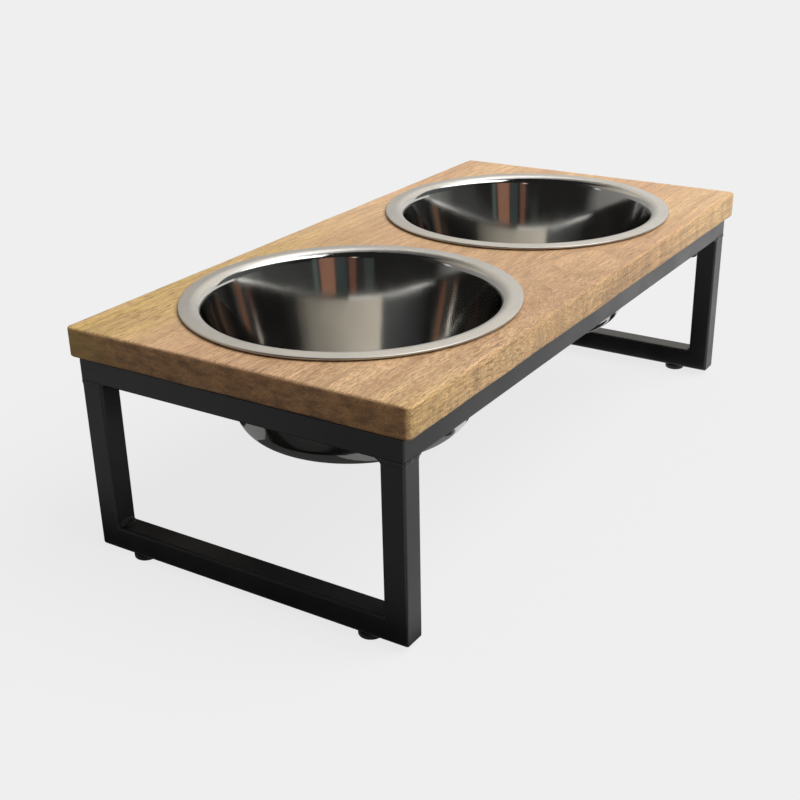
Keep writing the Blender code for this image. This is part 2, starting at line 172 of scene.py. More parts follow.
class FixingSettings(PropertyGroup):
    """The screws, glides, studs and inserts."""
    screw_head_radius: length("Screw head radius", "Radius of the pan heads", 0.0045)
    screw_head_height: length("Screw head height", "Height of the pan heads", 0.0031)
    screw_head_round: length("Screw head round", "Radius of the pan heads' edge", 0.0012)
    screw_shank_radius: length("Screw shank radius", "Radius over the screw's threads", 0.0021)
    screw_pitch: length("Screw pitch", "Spacing of the wood screws' threads", 0.0016)
    screw_point: length("Screw point", "Length of the tapered point", 0.004)
    recess_span: length("Recess span", "Width of the driver's cross", 0.0044)
    recess_slot: length("Recess slot", "Width of one slot of the cross", 0.0010)
    recess_depth: length("Recess depth", "Depth of the cross", 0.0013)
    pad_round: length("Pad round", "Radius at the pad's lower edge", 0.0011)
    stud_radius: length("Stud radius", "Radius over the stud's threads", 0.0025)
    stud_pitch: length("Stud pitch", "Spacing of the stud's threads", 0.0008)
    insert_radius: length("Insert radius", "Outer radius of the threaded insert", 0.0035)
    hole_gap: length("Hole gap", "Gap between an insert and its hole in the bar", 0.0003)
    screw_colour: colour("Screw", "Colour of the blackened screws", (0.030, 0.030, 0.032))
    zinc_colour: colour("Zinc", "Colour of the plated studs and inserts", (0.55, 0.56, 0.58))
    nylon_colour: colour("Nylon", "Colour of the moulded pads", (0.013, 0.013, 0.014))


class StageSettings(PropertyGroup):
    """The floor, the lights and the camera."""
    floor_radius: length("Floor radius", "Radius of the pale floor", 9.0)
    backdrop: colour("Backdrop", "Colour of the pale floor and background", (0.862, 0.862, 0.862))
    floor_glow: share("Floor glow", "Share of the floor's look that no shadow darkens", 0.90)
    floor_bounce: share("Floor bounce", "How much light the floor throws back up", 0.11)
    key_strength: level("Key strength", "Strength of the key light", 3.0)
    key_softness: angle("Key softness", "Angle across the key light", 55.0)
    key_bearing: angle("Key bearing", "Direction that the key light comes from, seen from above", -68.0)
    key_height: angle("Key height", "Height of the key light over the floor", 52.0)
    fill: level("Fill", "Strength of the even light from all round", 0.27)
    focal_length: FloatProperty(name="Focal length", description="Focal length of the camera",
                                default=57.2, min=1.0, unit="CAMERA")
    camera_place: FloatVectorProperty(name="Camera place", description="Where the camera stands",
                                      default=(-0.5973, -0.3521, 0.3340), size=3, subtype="TRANSLATION")
    camera_yaw: angle("Camera yaw", "Direction that the camera looks in, from +X", 32.92)
    camera_pitch: angle("Camera pitch", "Angle of the camera's view over the level", -25.0)
    camera_roll: angle("Camera roll", "Tilt of the camera about its view", -1.23)
    shift_x: FloatProperty(name="Shift X", description="Sideways shift of the picture", default=0.0)
    shift_y: FloatProperty(name="Shift Y", description="Upward shift of the picture", default=0.04)


SETTINGS = {
    "feeder_board": BoardSettings,
    "feeder_bowls": BowlSettings,
    "feeder_stand": StandSettings,
    "feeder_fixings": FixingSettings,
    "feeder_stage": StageSettings,
}


# Mesh helpers

def piece_from(bm, name, finish, sharp=None, location=(0.0, 0.0, 0.0)):
    """Turn a bmesh into a smooth-shaded object, with edges over the sharp angle in degrees kept crisp."""
    bmesh.ops.recalc_face_normals(bm, faces=bm.faces)
    mesh = bpy.data.meshes.new(name)
    bm.to_mesh(mesh)
    bm.free()
    mesh.shade_smooth()
    if sharp:
        mesh.set_sharp_from_angle(angle=math.radians(sharp))
    mesh.materials.append(finish)
    piece = bpy.data.objects.new(name, mesh)
    piece.location = location
    bpy.context.scene.collection.objects.link(piece)
    return piece


def settle(piece, body, slot, *nodes):
    """Tie a finished piece to its body and hide the imported nodes that it stands for. Its material slot is
    not used.
    """
    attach(piece, body)
    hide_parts(*nodes)


def bridge(bm, first, last, closed=True):
    """Quads between two rows of vertices of equal length."""
    count = len(first)
    for here in range(count if closed else count - 1):
        beyond = (here + 1) % count
        bm.faces.new((first[here], first[beyond], last[beyond], last[here]))


def skin(bm, rows, joined=False, closed=True):
    """Quads from each row of vertices to the next, and from the last to the first where they are joined."""
    following = rows[1:] + rows[:1] if joined else rows[1:]
    for first, last in zip(rows, following):
        bridge(bm, first, last, closed)


def cap(bm, *rows):
    """One face over each closed row of vertices."""
    for row in rows:
        bm.faces.new(row)


def circle_row(bm, radius, height, sides, x=0.0):
    """A closed row of vertices round an upright axis at x."""
    turns = [2 * math.pi * side / sides for side in range(sides)]
    return [bm.verts.new((x + radius * math.cos(turn), radius * math.sin(turn), height)) for turn in turns]


def loop_edges(bm, row):
    """The edges that join a closed row of vertices."""
    return [bm.edges.get((row[here - 1], row[here])) or bm.edges.new((row[here - 1], row[here]))
            for here in range(len(row))]


def arc(centre, radius, start, end, steps):
    """Points along an arc, with both ends, for angles in degrees."""
    points = []
    for step in range(steps + 1):
        turn = math.radians(start + (end - start) * step / steps)
        points.append((centre[0] + radius * math.cos(turn), centre[1] + radius * math.sin(turn)))
    return points


def turned(outline, sides):
    """Spin an open outline of (radius, height) points about Z. Points on the axis close it."""
    on_axis = 1e-7
    bm = bmesh.new()
    rows = []
    for radius, height in outline:
        if radius < on_axis:
            rows.append([bm.verts.new((0.0, 0.0, height))])
        else:
            rows.append(circle_row(bm, radius, height, sides))
    for first, last in zip(rows, rows[1:]):
        if len(first) == len(last):
            bridge(bm, first, last)
            continue
        tip, rim = (first[0], last) if len(first) == 1 else (last[0], first)
        for here in range(sides):
            bm.faces.new((tip, rim[here], rim[(here + 1) % sides]))
    return bm


def rounded_path(corners):
    """A path through (x, y, radius, steps) corners, each one rounded off with an arc."""
    path = []
    for index, (x, y, radius, steps) in enumerate(corners):
        here = Vector((x, y))
        if radius == 0:
            path.append(here)
            continue
        back = (Vector(corners[index - 1][:2]) - here).normalized()
        ahead = (Vector(corners[index + 1][:2]) - here).normalized()
        half = back.angle(ahead) / 2
        centre = here + (back + ahead).normalized() * (radius / math.sin(half))
        first = here + back * (radius / math.tan(half)) - centre
        last = here + ahead * (radius / math.tan(half)) - centre
        sweep = first.angle_signed(last)
        for step in range(steps + 1):
            path.append(centre + Matrix.Rotation(-sweep * step / steps, 2) @ first)
    return path


def sheet_outline(path, thickness):
    """Both faces of a sheet that follows a path, half its thickness to each side."""
    near, far = [], []
    for index, point in enumerate(path):
        along = (path[min(index + 1, len(path) - 1)] - path[max(index - 1, 0)]).normalized()
        across = Vector((-along.y, along.x)) * (thickness / 2)
        near.append(point + across)
        far.append(point - across)
    return near, far


def tube_section(size, radius, support=0.00035, steps=5):
    """A rounded square with support points beside each arc, so that its flats shade flat."""
    reach = size / 2 - radius
    points = []
    for quarter, (u, v) in enumerate(QUARTERS):
        corner = arc((u * reach, v * reach), radius, 90 * quarter, 90 * quarter + 90, steps)
        turn = math.radians(90 * quarter)
        back = (math.sin(turn) * support, -math.cos(turn) * support)
        ahead = (-math.cos(turn) * support, -math.sin(turn) * support)
        points.append((corner[0][0] + back[0], corner[0][1] + back[1]))
        points += corner
        points.append((corner[-1][0] + ahead[0], corner[-1][1] + ahead[1]))
    return points


def rounded_outline(centre, half, radius, steps, side_steps):
    """Points round a rounded rectangle, each with its outward direction.

    The half sizes and the numbers of steps along the straight sides are given as (X, Y).
    """
    points = []
    for quarter, (sx, sy) in enumerate(QUARTERS):
        bend = centre + Vector((sx * (half[0] - radius), sy * (half[1] - radius)))
        for step in range(steps + 1):
            turn = math.radians(90 * quarter + 90 * step / steps)
            out = Vector((math.cos(turn), math.sin(turn)))
            points.append((bend + out * radius, out))
        ahead, count = 2 * (half[quarter % 2] - radius), side_steps[quarter % 2]
        run = Vector((-out.y, out.x))
        start = bend + out * radius
        for step in range(1, count):
            points.append((start + run * (ahead * step / count), out))
    return points


def thread_rows(bm, radius, depth, pitch, low, high, sides, taper=0.0):
    """Rows of vertices up a threaded rod, which narrows to a point over the taper at its top."""
    per_turn = 8
    tip_share = 0.12
    steps = round((high - low) / pitch * per_turn)
    rows = []
    for step in range(steps + 1):
        height = low + (high - low) * step / steps
        near_tip = min(1.0, max(0.0, (high - height) / taper)) if taper else 1.0
        row = []
        for side in range(sides):
            turn = 2 * math.pi * side / sides
            phase = (height / pitch - side / sides) % 1.0
            crest = abs(2 * phase - 1)
            reach = (radius - depth * (1 - crest)) * (tip_share + (1 - tip_share) * near_tip)
            row.append(bm.verts.new((reach * math.cos(turn), reach * math.sin(turn), height)))
        rows.append(row)
    skin(bm, rows)
    return rows


# Node helpers

class Graph:
    """Short calls that add nodes to one node tree and wire them up."""

    def __init__(self, tree):
        self.nodes = tree.nodes
        self.links = tree.links

    def wire(self, node, key, value):
        """Link another node's output to an input, or write a plain value or an opaque colour to it."""
        socket = node.inputs[key]
        if isinstance(value, bpy.types.NodeSocket):
            self.links.new(value, socket)
        elif socket.type == "RGBA":
            socket.default_value = (*value, 1.0)
        else:
            socket.default_value = value

    def add(self, kind, inputs=(), **settings):
        """A node with its settings, whose inputs are values or other nodes' outputs, by name or number."""
        node = self.nodes.new(kind)
        for name, setting in settings.items():
            setattr(node, name, setting)
        for key, value in dict(inputs).items():
            self.wire(node, key, value)
        return node

    def place(self):
        """The point in the piece's own coordinates."""
        return self.add("ShaderNodeTexCoord").outputs["Object"]

    def parts(self, vector):
        """The X, Y and Z of a vector."""
        return self.add("ShaderNodeSeparateXYZ", {0: vector}).outputs[:]

    def math(self, operation, first, second=0.0, clamp=False):
        return self.add("ShaderNodeMath", {0: first, 1: second}, operation=operation,
                        use_clamp=clamp).outputs[0]

    def times(self, first, second):
        return self.math("MULTIPLY", first, second)

    def plus(self, first, second, clamp=False):
        return self.math("ADD", first, second, clamp)

    def less(self, first, second):
        return self.math("SUBTRACT", first, second)

    def vector_math(self, operation, first, second=(0.0, 0.0, 0.0)):
        node = self.add("ShaderNodeVectorMath", {0: first, 1: second}, operation=operation)
        return node.outputs["Value" if operation == "LENGTH" else "Vector"]

    def spread(self, vector, scale):
        """A vector stretched by (x, y, z)."""
        return self.vector_math("MULTIPLY", vector, scale)

    def noise(self, vector, scale, detail=2.0, roughness=0.5, distortion=0.0, output="Fac"):
        """Noise with one scale, or with a scale for each axis."""
        if isinstance(scale, tuple):
            vector = self.spread(vector, scale)
            scale = 1.0
        return self.add("ShaderNodeTexNoise", {"Vector": vector, "Scale": scale, "Detail": detail,
                                               "Roughness": roughness,
                                               "Distortion": distortion}).outputs[output]

    def rise(self, value, low, high, bottom=0.0, top=1.0):
        """A smooth step from bottom to top as the value goes from low to high."""
        return self.add("ShaderNodeMapRange", {"Value": value, "From Min": low, "From Max": high,
                                               "To Min": bottom, "To Max": top},
                        interpolation_type="SMOOTHSTEP").outputs["Result"]

    def vary(self, noise_value, middle, low, high):
        """A value that goes from one share of its middle to another with a noise."""
        return self.rise(noise_value, 0.3, 0.7, middle * low, middle * high)

    def patch(self, vector, centre, reach):
        """A soft blob: one at the centre, fading to nothing at the reach along each axis."""
        away = self.vector_math("DIVIDE", self.vector_math("SUBTRACT", vector, centre), reach)
        return self.rise(self.vector_math("LENGTH", away), 1.0, 0.0)

    def mix(self, factor, first, second):
        """Two values mixed by a factor."""
        return self.add("ShaderNodeMix", {0: factor, 2: first, 3: second}).outputs[0]

    def blend(self, factor, first, second, mode="MIX"):
        """Two colours mixed by a factor."""
        return self.add("ShaderNodeMix", {0: factor, 6: first, 7: second}, data_type="RGBA",
                        blend_type=mode).outputs[2]

    def tinted(self, tone, red, green, blue):
        """A colour with each channel multiplied."""
        channels = self.add("ShaderNodeCombineXYZ", {0: red, 1: green, 2: blue}).outputs[0]
        return self.blend(1.0, tone, channels, "MULTIPLY")

    def shaded(self, tone, shade):
        """A colour with all its channels multiplied by one value."""
        return self.tinted(tone, shade, shade, shade)


class Finish(Graph):
    """A material with a Principled shader."""

    def __init__(self, name, base, roughness, metallic=0.0):
        self.material = bpy.data.materials.new(name)
        self.material.use_nodes = True
        super().__init__(self.material.node_tree)
        self.shader = self.nodes["Principled BSDF"]
        self.feed("Base Color", base)
        self.feed("Roughness", roughness)
        self.feed("Metallic", metallic)

    def feed(self, socket, value):
        """Give a value or another node's output to the shader."""
        self.wire(self.shader, socket, value)

    def bump(self, height, strength, distance):
        """Wire a height to the shader's normal."""
        node = self.add("ShaderNodeBump", {"Strength": strength, "Distance": distance, "Height": height})
        self.feed("Normal", node.outputs["Normal"])


def scaled(tint, factor):
    """A colour with its three channels multiplied."""
    return tuple(channel * factor for channel in tint)


# Wood

# Noise scales per metre, along the board, across it and through it
DRIFT_SCALE = (5.0, 9.0, 9.0)
CURL_SCALE = (75.0, 26.0, 26.0)
LINE_WEIGHT_SCALE = (7.0, 30.0, 30.0)
ZONE_SCALE = (5.0, 26.0, 26.0)
GOLD_SCALE = (8.0, 60.0, 60.0)
COARSE_SCALE = (6.0, 12.0, 12.0)
STREAK_SCALE = (13.0, 300.0, 300.0)
FIBRE_SCALE = (34.0, 1100.0, 1100.0)
PORE_SCALE = (130.0, 1200.0, 1200.0)
FLECK_SCALE = (280.0, 2000.0, 2000.0)
BAND_SCALE = (95.0, 8.0, 26.0)
STROKE_SCALE = (800.0, 60.0, 90.0)
MOTTLE_SCALE = (60.0, 110.0, 260.0)
DOT_SCALE = (500.0, 1500.0, 1100.0)
COMB_SCALE = (120.0, 1300.0, 300.0)

# Blobs in the wood, each with its centre and its reach along each axis
CURL_ZONE = ((-0.055, -0.102, 0.122), (0.085, 0.042, 0.05))
EYE = ((0.022, -0.066, 0.13), (0.085, 0.046, 0.05))
GOLD_CORNER = ((-0.2, -0.1, 0.13), (0.07, 0.03, 0.03))

# How far the grain drifts and curls, and the growth rings round the tree's heart below the board
DRIFT_REACH = 0.012
CURL_REACH = 0.017
HEART = (0.0, -0.045, 0.02)
HEART_SLANT = 0.06
EYE_RISE = 0.014
YEARS_PER_METRE = 210.0


def face_masks(wood):
    """How far a face looks up, and masks for upright faces, the sawn ends and the long edges."""
    normal = wood.add("ShaderNodeNewGeometry").outputs["Normal"]
    upward = wood.parts(normal)[2]
    level_part = wood.parts(wood.vector_math("NORMALIZE", wood.spread(normal, (1.0, 1.0, 0.02))))
    upright = wood.rise(upward, 0.66, 0.50)
    endways = wood.rise(wood.math("ABSOLUTE", level_part[0]), 0.80, 0.96)
    sideways = wood.times(wood.rise(wood.math("ABSOLUTE", level_part[1]), 0.80, 0.96), upright)
    return upward, upright, endways, sideways


def wandering_grain(wood, place):
    """The point as the grain has it, which drifts gently, and curls in front of the left bowl."""
    middle = (0.5, 0.5, 0.5)
    drift = wood.vector_math("SUBTRACT", wood.noise(place, DRIFT_SCALE, output="Color"), middle)
    curl = wood.vector_math("SUBTRACT", wood.noise(place, CURL_SCALE, 1.0, output="Color"), middle)
    weight = wood.times(wood.patch(place, *CURL_ZONE), CURL_REACH)
    curled = wood.add("ShaderNodeVectorMath", {0: curl, 3: weight}, operation="SCALE").outputs[0]
    grain = wood.vector_math("ADD", place, wood.spread(drift, (0.0, DRIFT_REACH, DRIFT_REACH)))
    return wood.vector_math("ADD", grain, wood.spread(curled, (0.0, 1.0, 1.0)))


def growth_lines(wood, place, grain):
    """Where the dark late wood lies: rings round the tree's heart, domed into an eye between the bowls."""
    eye = wood.patch(place, *EYE)
    away = wood.vector_math("SUBTRACT", grain, HEART)
    ring = wood.vector_math("LENGTH", wood.spread(away, (HEART_SLANT, 1.0, 1.0)))
    ring = wood.plus(ring, wood.times(eye, EYE_RISE))
    year = wood.math("FRACT", wood.times(ring, YEARS_PER_METRE))
    late = wood.times(wood.rise(year, 0.35, 0.93), wood.rise(year, 1.0, 0.95))
    line_weight = wood.rise(wood.noise(grain, LINE_WEIGHT_SCALE), 0.35, 0.75, 0.10, 0.42)
    return wood.times(late, wood.plus(line_weight, wood.times(eye, 0.22)))


def zoned_tone(wood, settings, place, grain):
    """Pale and rosy zones, golden at the back left and brighter towards the right."""
    x, y, _ = wood.parts(place)
    zone = wood.noise(grain, ZONE_SCALE, 3.0, 0.55)
    tone = wood.blend(wood.rise(zone, 0.34, 0.66), settings.pale, settings.rosy)
    gold = wood.times(wood.rise(y, 0.035, 0.085), wood.rise(x, 0.06, -0.09))
    gold = wood.math("MAXIMUM", gold, wood.patch(place, *GOLD_CORNER))
    gold = wood.times(gold, wood.rise(wood.noise(grain, GOLD_SCALE), 0.3, 0.6, 0.45, 1.0))
    tone = wood.blend(gold, tone, settings.golden)
    return wood.shaded(tone, wood.rise(x, -0.08, 0.19, 0.97, 1.13))


def long_edge_grain_and_painted_light(wood, tone, place, grain, sideways):
    """The long edges: slanting growth bands and short upright saw strokes, with painted light that lifts and
    warms their tone over the top's.
    """
    bands = wood.noise(grain, BAND_SCALE, 2.0, 0.5, 0.4)
    strokes = wood.noise(place, STROKE_SCALE, 2.0, 0.6)
    # Painted light: the long edges are made lighter than the top and warmer, with less blue, for how light
    # falls on them
    bands_and_painted_light = wood.times(wood.rise(bands, 0.36, 0.64, 1.02, 1.22), wood.rise(strokes, 0.40, 0.62, 1.06, 0.90))
    bands_and_painted_light = wood.plus(1.0, wood.times(sideways, wood.less(bands_and_painted_light, 1.0)))
    painted_warmth = wood.times(bands_and_painted_light, wood.less(1.0, wood.times(sideways, 0.12)))
    return wood.tinted(tone, bands_and_painted_light, bands_and_painted_light, painted_warmth)


def sawn_end_tone(wood, settings, place):
    """Browner and mottled, because the sawn ends drink more oil, with dark dots for pores."""
    mottle = wood.noise(place, MOTTLE_SCALE, 4.0, 0.7)
    dots = wood.noise(place, DOT_SCALE, 2.0, 0.6)
    end = wood.blend(wood.rise(mottle, 0.25, 0.70, 0.10, 1.0), settings.pore, settings.end_grain)
    end = wood.blend(wood.rise(dots, 0.52, 0.68, 0.0, 0.75), end, settings.pore)
    towards_back = wood.rise(wood.parts(place)[1], 0.06, 0.1)
    return wood.blend(wood.times(towards_back, 0.5), end, settings.golden)


def comb_pores(wood, place, endways, upward):
    """Where dark pores cross the upper arris of the sawn ends."""
    comb = wood.noise(place, COMB_SCALE, 1.0, 0.5)
    arris = wood.times(wood.rise(upward, 0.20, 0.55), wood.rise(upward, 0.99, 0.93))
    return wood.times(wood.times(endways, arris), wood.rise(comb, 0.48, 0.60))


def wood_finish(settings):
    """Mango-like wood as a solid texture: growth lines, streaks, fibres and pores along X."""
    wood = Finish("oiled_wood", settings.pale, 0.5)
    place = wood.place()
    x, y, _ = wood.parts(place)
    upward, upright, endways, sideways = face_masks(wood)
    grain = wandering_grain(wood, place)
    tone = zoned_tone(wood, settings, place, grain)
    tone = wood.blend(growth_lines(wood, place, grain), tone, settings.streak)

    # Brown streaks, then fine fibres that lighten and darken
    streaks = wood.noise(grain, STREAK_SCALE, 3.0, 0.6)
    coarse = wood.rise(wood.noise(place, COARSE_SCALE), 0.38, 0.66)
    coarse = wood.times(wood.plus(coarse, 0.35, clamp=True), wood.rise(x, 0.12, -0.16, 0.30, 1.0))
    streaked = wood.times(wood.rise(streaks, 0.52, 0.74), coarse)
    tone = wood.blend(wood.times(streaked, 0.62), tone, settings.streak)
    fibres = wood.noise(grain, FIBRE_SCALE, 2.0, 0.6)
    tone = wood.shaded(tone, wood.rise(fibres, 0.3, 0.7, 0.80, 1.20))

    # Open pores: short dark dashes along the grain
    dashes = wood.noise(grain, PORE_SCALE, 1.0, 0.4)
    pores = wood.times(wood.rise(dashes, 0.59, 0.68), wood.plus(coarse, 0.20, clamp=True))
    tone = wood.blend(wood.times(pores, 0.62), tone, settings.pore)

    # Fine flecks, thickest towards the front left corner
    flecks = wood.noise(grain, FLECK_SCALE, 1.0, 0.5)
    front_left = wood.times(wood.rise(x, 0.10, -0.12, 0.4, 1.0), wood.rise(y, 0.05, -0.08, 0.5, 1.0))
    flecked = wood.times(wood.rise(flecks, 0.50, 0.60), front_left)
    tone = wood.blend(wood.times(flecked, 0.80), tone, settings.streak)

    # The long edges with their painted light, the sawn ends and the arris above them
    tone = long_edge_grain_and_painted_light(wood, tone, place, grain, sideways)
    sawn = wood.times(endways, upright)
    tone = wood.blend(wood.times(sawn, 0.88), tone, sawn_end_tone(wood, settings, place))
    combed = comb_pores(wood, place, endways, upward)
    tone = wood.blend(wood.times(combed, 0.75), tone, settings.streak)
    wood.feed("Base Color", tone)

    # Oil fills the pores unevenly
    wood.feed("Roughness", wood.plus(wood.rise(fibres, 0.3, 0.7, 0.44, 0.56), wood.times(pores, 0.15)))
    wood.feed("Specular IOR Level", 0.35)
    wood.bump(wood.less(wood.times(fibres, 0.5), pores), 0.35, 0.00025)
    return wood.material


# Steel, coat and small finishes

def steel_finish(settings):
    """Pressed stainless steel: polished inside, satin on the rim and the outside."""
    steel = Finish("pressed_steel", settings.tint, 0.2, 1.0)
    place = steel.place()
    z = steel.parts(place)[2]
    radius = steel.vector_math("LENGTH", steel.spread(place, (1.0, 1.0, 0.0)))
    wall_top = RIM_RADIUS - settings.rim_width

    # How far a point lies outside the middle of the wall and the bottom tells the sheet's two faces apart
    near = settings.sheet * 0.05
    middle = BOWL_LOW.z - BOARD_HIGH.z + settings.sheet / 2
    outward = steel.less(radius, steel.plus(steel.times(z, math.tan(settings.draft)), wall_top))
    under = steel.less(1.0, steel.rise(z, middle - near, middle + near))
    outer_face = steel.math("MAXIMUM", steel.rise(outward, -0.0001, 0.0001), under)
    rim = steel.rise(radius, wall_top - 0.0006, wall_top + 0.0010)

    # Fine turning lines on the rim, a slight pull of the drawn wall and a cloudy outside
    turning = steel.add("ShaderNodeCombineXYZ", {0: steel.times(radius, 5200.0), 1: steel.times(z, 900.0)})
    lines = steel.noise(turning.outputs[0], 1.0, 2.0, 0.6)
    cloud = steel.noise(place, 42.0, 3.0, 0.6)
    inside = steel.vary(cloud, settings.inside_roughness, 0.85, 1.20)
    outside = steel.vary(cloud, settings.outside_roughness, 0.85, 1.15)
    flat_rim = steel.vary(lines, settings.rim_roughness, 0.90, 1.10)
    steel.feed("Roughness", steel.mix(rim, steel.mix(outer_face, inside, outside), flat_rim))
    steel.feed("Base Color", steel.shaded(settings.tint, steel.rise(cloud, 0.25, 0.75, 0.94, 1.04)))
    pull = steel.noise(place, (38.0, 38.0, 16.0))
    steel.bump(steel.plus(steel.times(pull, 0.8), steel.times(steel.times(lines, rim), 0.02)), 0.25, 0.0006)
    return steel.material


def coat_finish(settings):
    """Satin black powder coat with its fine orange-peel texture."""
    coat = Finish("black_powder_coat", settings.coat, settings.coat_roughness)
    place = coat.place()
    peel = coat.noise(place, 620.0, 3.0, 0.55)
    cloud = coat.noise(place, 38.0, 3.0, 0.6)
    smoothest, roughest = settings.coat_roughness - 0.04, settings.coat_roughness + 0.05
    coat.feed("Roughness", coat.rise(cloud, 0.3, 0.7, smoothest, roughest))
    dust = scaled(settings.coat, 1.7)
    coat.feed("Base Color", coat.blend(coat.rise(cloud, 0.35, 0.75), settings.coat, dust))
    coat.bump(peel, 0.22, 0.00012)
    return coat.material


def screw_finish(settings):
    """Blackened steel, worn brighter on its high spots."""
    black = settings.screw_colour
    screw = Finish("blackened_steel", black, 0.4, 0.7)
    worn = screw.noise(screw.place(), 900.0, 4.0, 0.7)
    screw.feed("Base Color", screw.blend(screw.rise(worn, 0.5, 0.8), black, scaled(black, 3.5)))
    screw.feed("Roughness", screw.rise(worn, 0.2, 0.8, 0.34, 0.5))
    screw.bump(worn, 0.1, 0.0001)
    return screw.material


def zinc_finish(settings):
    """Bright zinc plate with faint clouding."""
    plate = settings.zinc_colour
    zinc = Finish("zinc_plate", plate, 0.3, 1.0)
    cloud = zinc.noise(zinc.place(), 700.0, 3.0, 0.6)
    zinc.feed("Base Color", zinc.blend(cloud, plate, scaled(plate, 0.8)))
    zinc.feed("Roughness", zinc.rise(cloud, 0.2, 0.8, 0.24, 0.42))
    zinc.bump(cloud, 0.08, 0.0001)
    return zinc.material


def nylon_finish(settings):
    """Moulded black nylon, finely textured and scuffed underneath."""
    black = settings.nylon_colour
    nylon = Finish("moulded_nylon", black, 0.55)
    place = nylon.place()
    grain = nylon.noise(place, 1500.0, 2.0, 0.6)
    underneath = nylon.rise(nylon.parts(place)[2], 0.0006, 0.0)
    scuff = nylon.times(underneath, nylon.noise(place, 500.0, 4.0, 0.7))
    nylon.feed("Base Color", nylon.blend(nylon.times(scuff, 0.8), black, scaled(black, 4.0)))
    nylon.feed("Roughness", nylon.rise(grain, 0.2, 0.8, 0.48, 0.64))
    nylon.bump(grain, 0.15, 0.0001)
    return nylon.material


# Board

def board_outline(settings, spacing=0.004):
    """Points round the board in plan, each with its outward direction."""
    half = BOARD_SIZE.xy / 2
    side_steps = [round(2 * (side - settings.corner_round) / spacing) for side in half]
    return rounded_outline(Vector((0.0, 0.0)), half, settings.corner_round, 8, side_steps)


def sanded_section(radius, support, steps):
    """A rounded edge as (inset, drop) points, from just inside the flat face to the side."""
    section = [(radius + support, 0.0)]
    for step in range(steps + 1):
        turn = math.pi / 2 * step / steps
        section.append((radius * (1 - math.sin(turn)), radius * (1 - math.cos(turn))))
    return section


def board_mesh(settings):
    """The slab, with hand-sanded edges whose radius wanders a little, and two eased round holes."""
    bm = bmesh.new()
    top, low = BOARD_HIGH.z, BOARD_LOW.z
    steps = 6
    wander_scale = 32
    face_shift = 90
    rows = [[] for _ in range(2 * steps + 4)]
    for point, out in board_outline(settings):
        for face, way in ((top, 1), (low, -1)):
            spot = Vector((point.x * wander_scale, point.y * wander_scale, face * face_shift))
            radius = settings.edge_round * (1 + settings.edge_wander * noise.noise(spot))
            for step, (inset, drop) in enumerate(sanded_section(radius, settings.support_reach, steps)):
                place = point - out * inset
                row = rows[step] if way > 0 else rows[-1 - step]
                row.append((place.x, place.y, face - way * drop))
    rings = [[bm.verts.new(co) for co in row] for row in rows]
    skin(bm, rings)
    borders = loop_edges(bm, rings[0]), loop_edges(bm, rings[-1])
    ease = settings.hole_round
    mouth = settings.hole_radius + ease
    profile = ([(mouth + settings.support_reach, top)]
               + arc((mouth, top - ease), ease, 90, 180, 4)
               + arc((mouth, low + ease), ease, 180, 270, 4)
               + [(mouth + settings.support_reach, low)])
    for x in ENDS.values():
        wall = [circle_row(bm, radius, height, HOLE_SIDES, x * BOWL_X) for radius, height in profile]
        skin(bm, wall)
        for border, row in zip(borders, (wall[0], wall[-1])):
            border.extend(loop_edges(bm, row))
    for edges in borders:
        bmesh.ops.triangle_fill(bm, edges=edges, use_beauty=True)
    return bm


class FEEDER_OT_board(Operator):
    """Build the wooden board"""
    bl_idname = "feeder.board"
    bl_label = "Board"

    def execute(self, context):
        settings = context.scene.feeder_board
        board = piece_from(board_mesh(settings), "board_slab", wood_finish(settings), sharp=40)
        settle(board, "stand", "wood", "board")
        return {"FINISHED"}


# Bowls

def supported(path, reach, spacing):
    """Add a point beside each end of a long straight run, and even points between them."""
    shortest = 2.5 * reach
    points = [path[0]]
    for before, after in zip(path, path[1:]):
        run = after - before
        if run.length > shortest:
            along = run.normalized()
            between = run.length - 2 * reach
            steps = max(1, round(between / spacing))
            for step in range(steps + 1):
                points.append(before + along * (reach + between * step / steps))
        points.append(after)
    return points


def bowl_outline(settings):
    """Half section of a bowl, from the axis under the bottom, round the rim, to the axis inside."""
    wall_top = RIM_RADIUS - settings.rim_width
    half = settings.sheet / 2
    bottom = BOWL_LOW.z - BOARD_HIGH.z + half
    bead = settings.rim_bead - half
    rim_high = BOWL_HIGH.z - BOARD_HIGH.z - half
    rim_low = rim_high - settings.rim_fall
    rim_foot = rim_low - 2 * bead
    rim_end = RIM_RADIUS - half
    bottom_corner = wall_top - (rim_high - bottom) * math.tan(settings.draft)
    lip_bend = bead * 0.95
    path = rounded_path([
        (0, bottom, 0, 0),
        (bottom_corner, bottom, settings.corner_round, 14),
        (wall_top, rim_high, settings.lip_round, 9),
        (rim_end, rim_low, lip_bend, 6),
        (rim_end, rim_foot, lip_bend, 6),
        (rim_end - 2 * bead, rim_foot, 0, 0),
    ])
    path = supported(path, settings.support_reach, settings.support_spacing)
    inside, outside = sheet_outline(path, settings.sheet)
    inside[0].x = 0.0
    outside[0].x = 0.0
    return outside + inside[::-1]


class FEEDER_OT_bowls(Operator):
    """Build the two steel bowls"""
    bl_idname = "feeder.bowls"
    bl_label = "Bowls"

    def execute(self, context):
        settings = context.scene.feeder_bowls
        steel = steel_finish(settings)
        for end, x in ENDS.items():
            shell = turned(bowl_outline(settings), BOWL_SIDES)
            spot = (x * BOWL_X, 0.0, BOARD_HIGH.z)
            bowl = piece_from(shell, "steel_bowl_" + end, steel, sharp=50, location=spot)
            settle(bowl, "bowl_" + end, "bowl_steel", "bowl_" + end)
        return {"FINISHED"}


# Stand

def dress_mitres(bm, stations, radius):
    """Round off the sharp edges of mitred corners, given the rows of vertices on the mitres."""
    least_bend = math.radians(35)
    bm.normal_update()
    sharp = [edge for row in stations for edge in loop_edges(bm, row) if edge.calc_face_angle() > least_bend]
    bmesh.ops.bevel(bm, geom=sharp, offset=radius, segments=4, profile=0.5, affect="EDGES",
                    clamp_overlap=True)


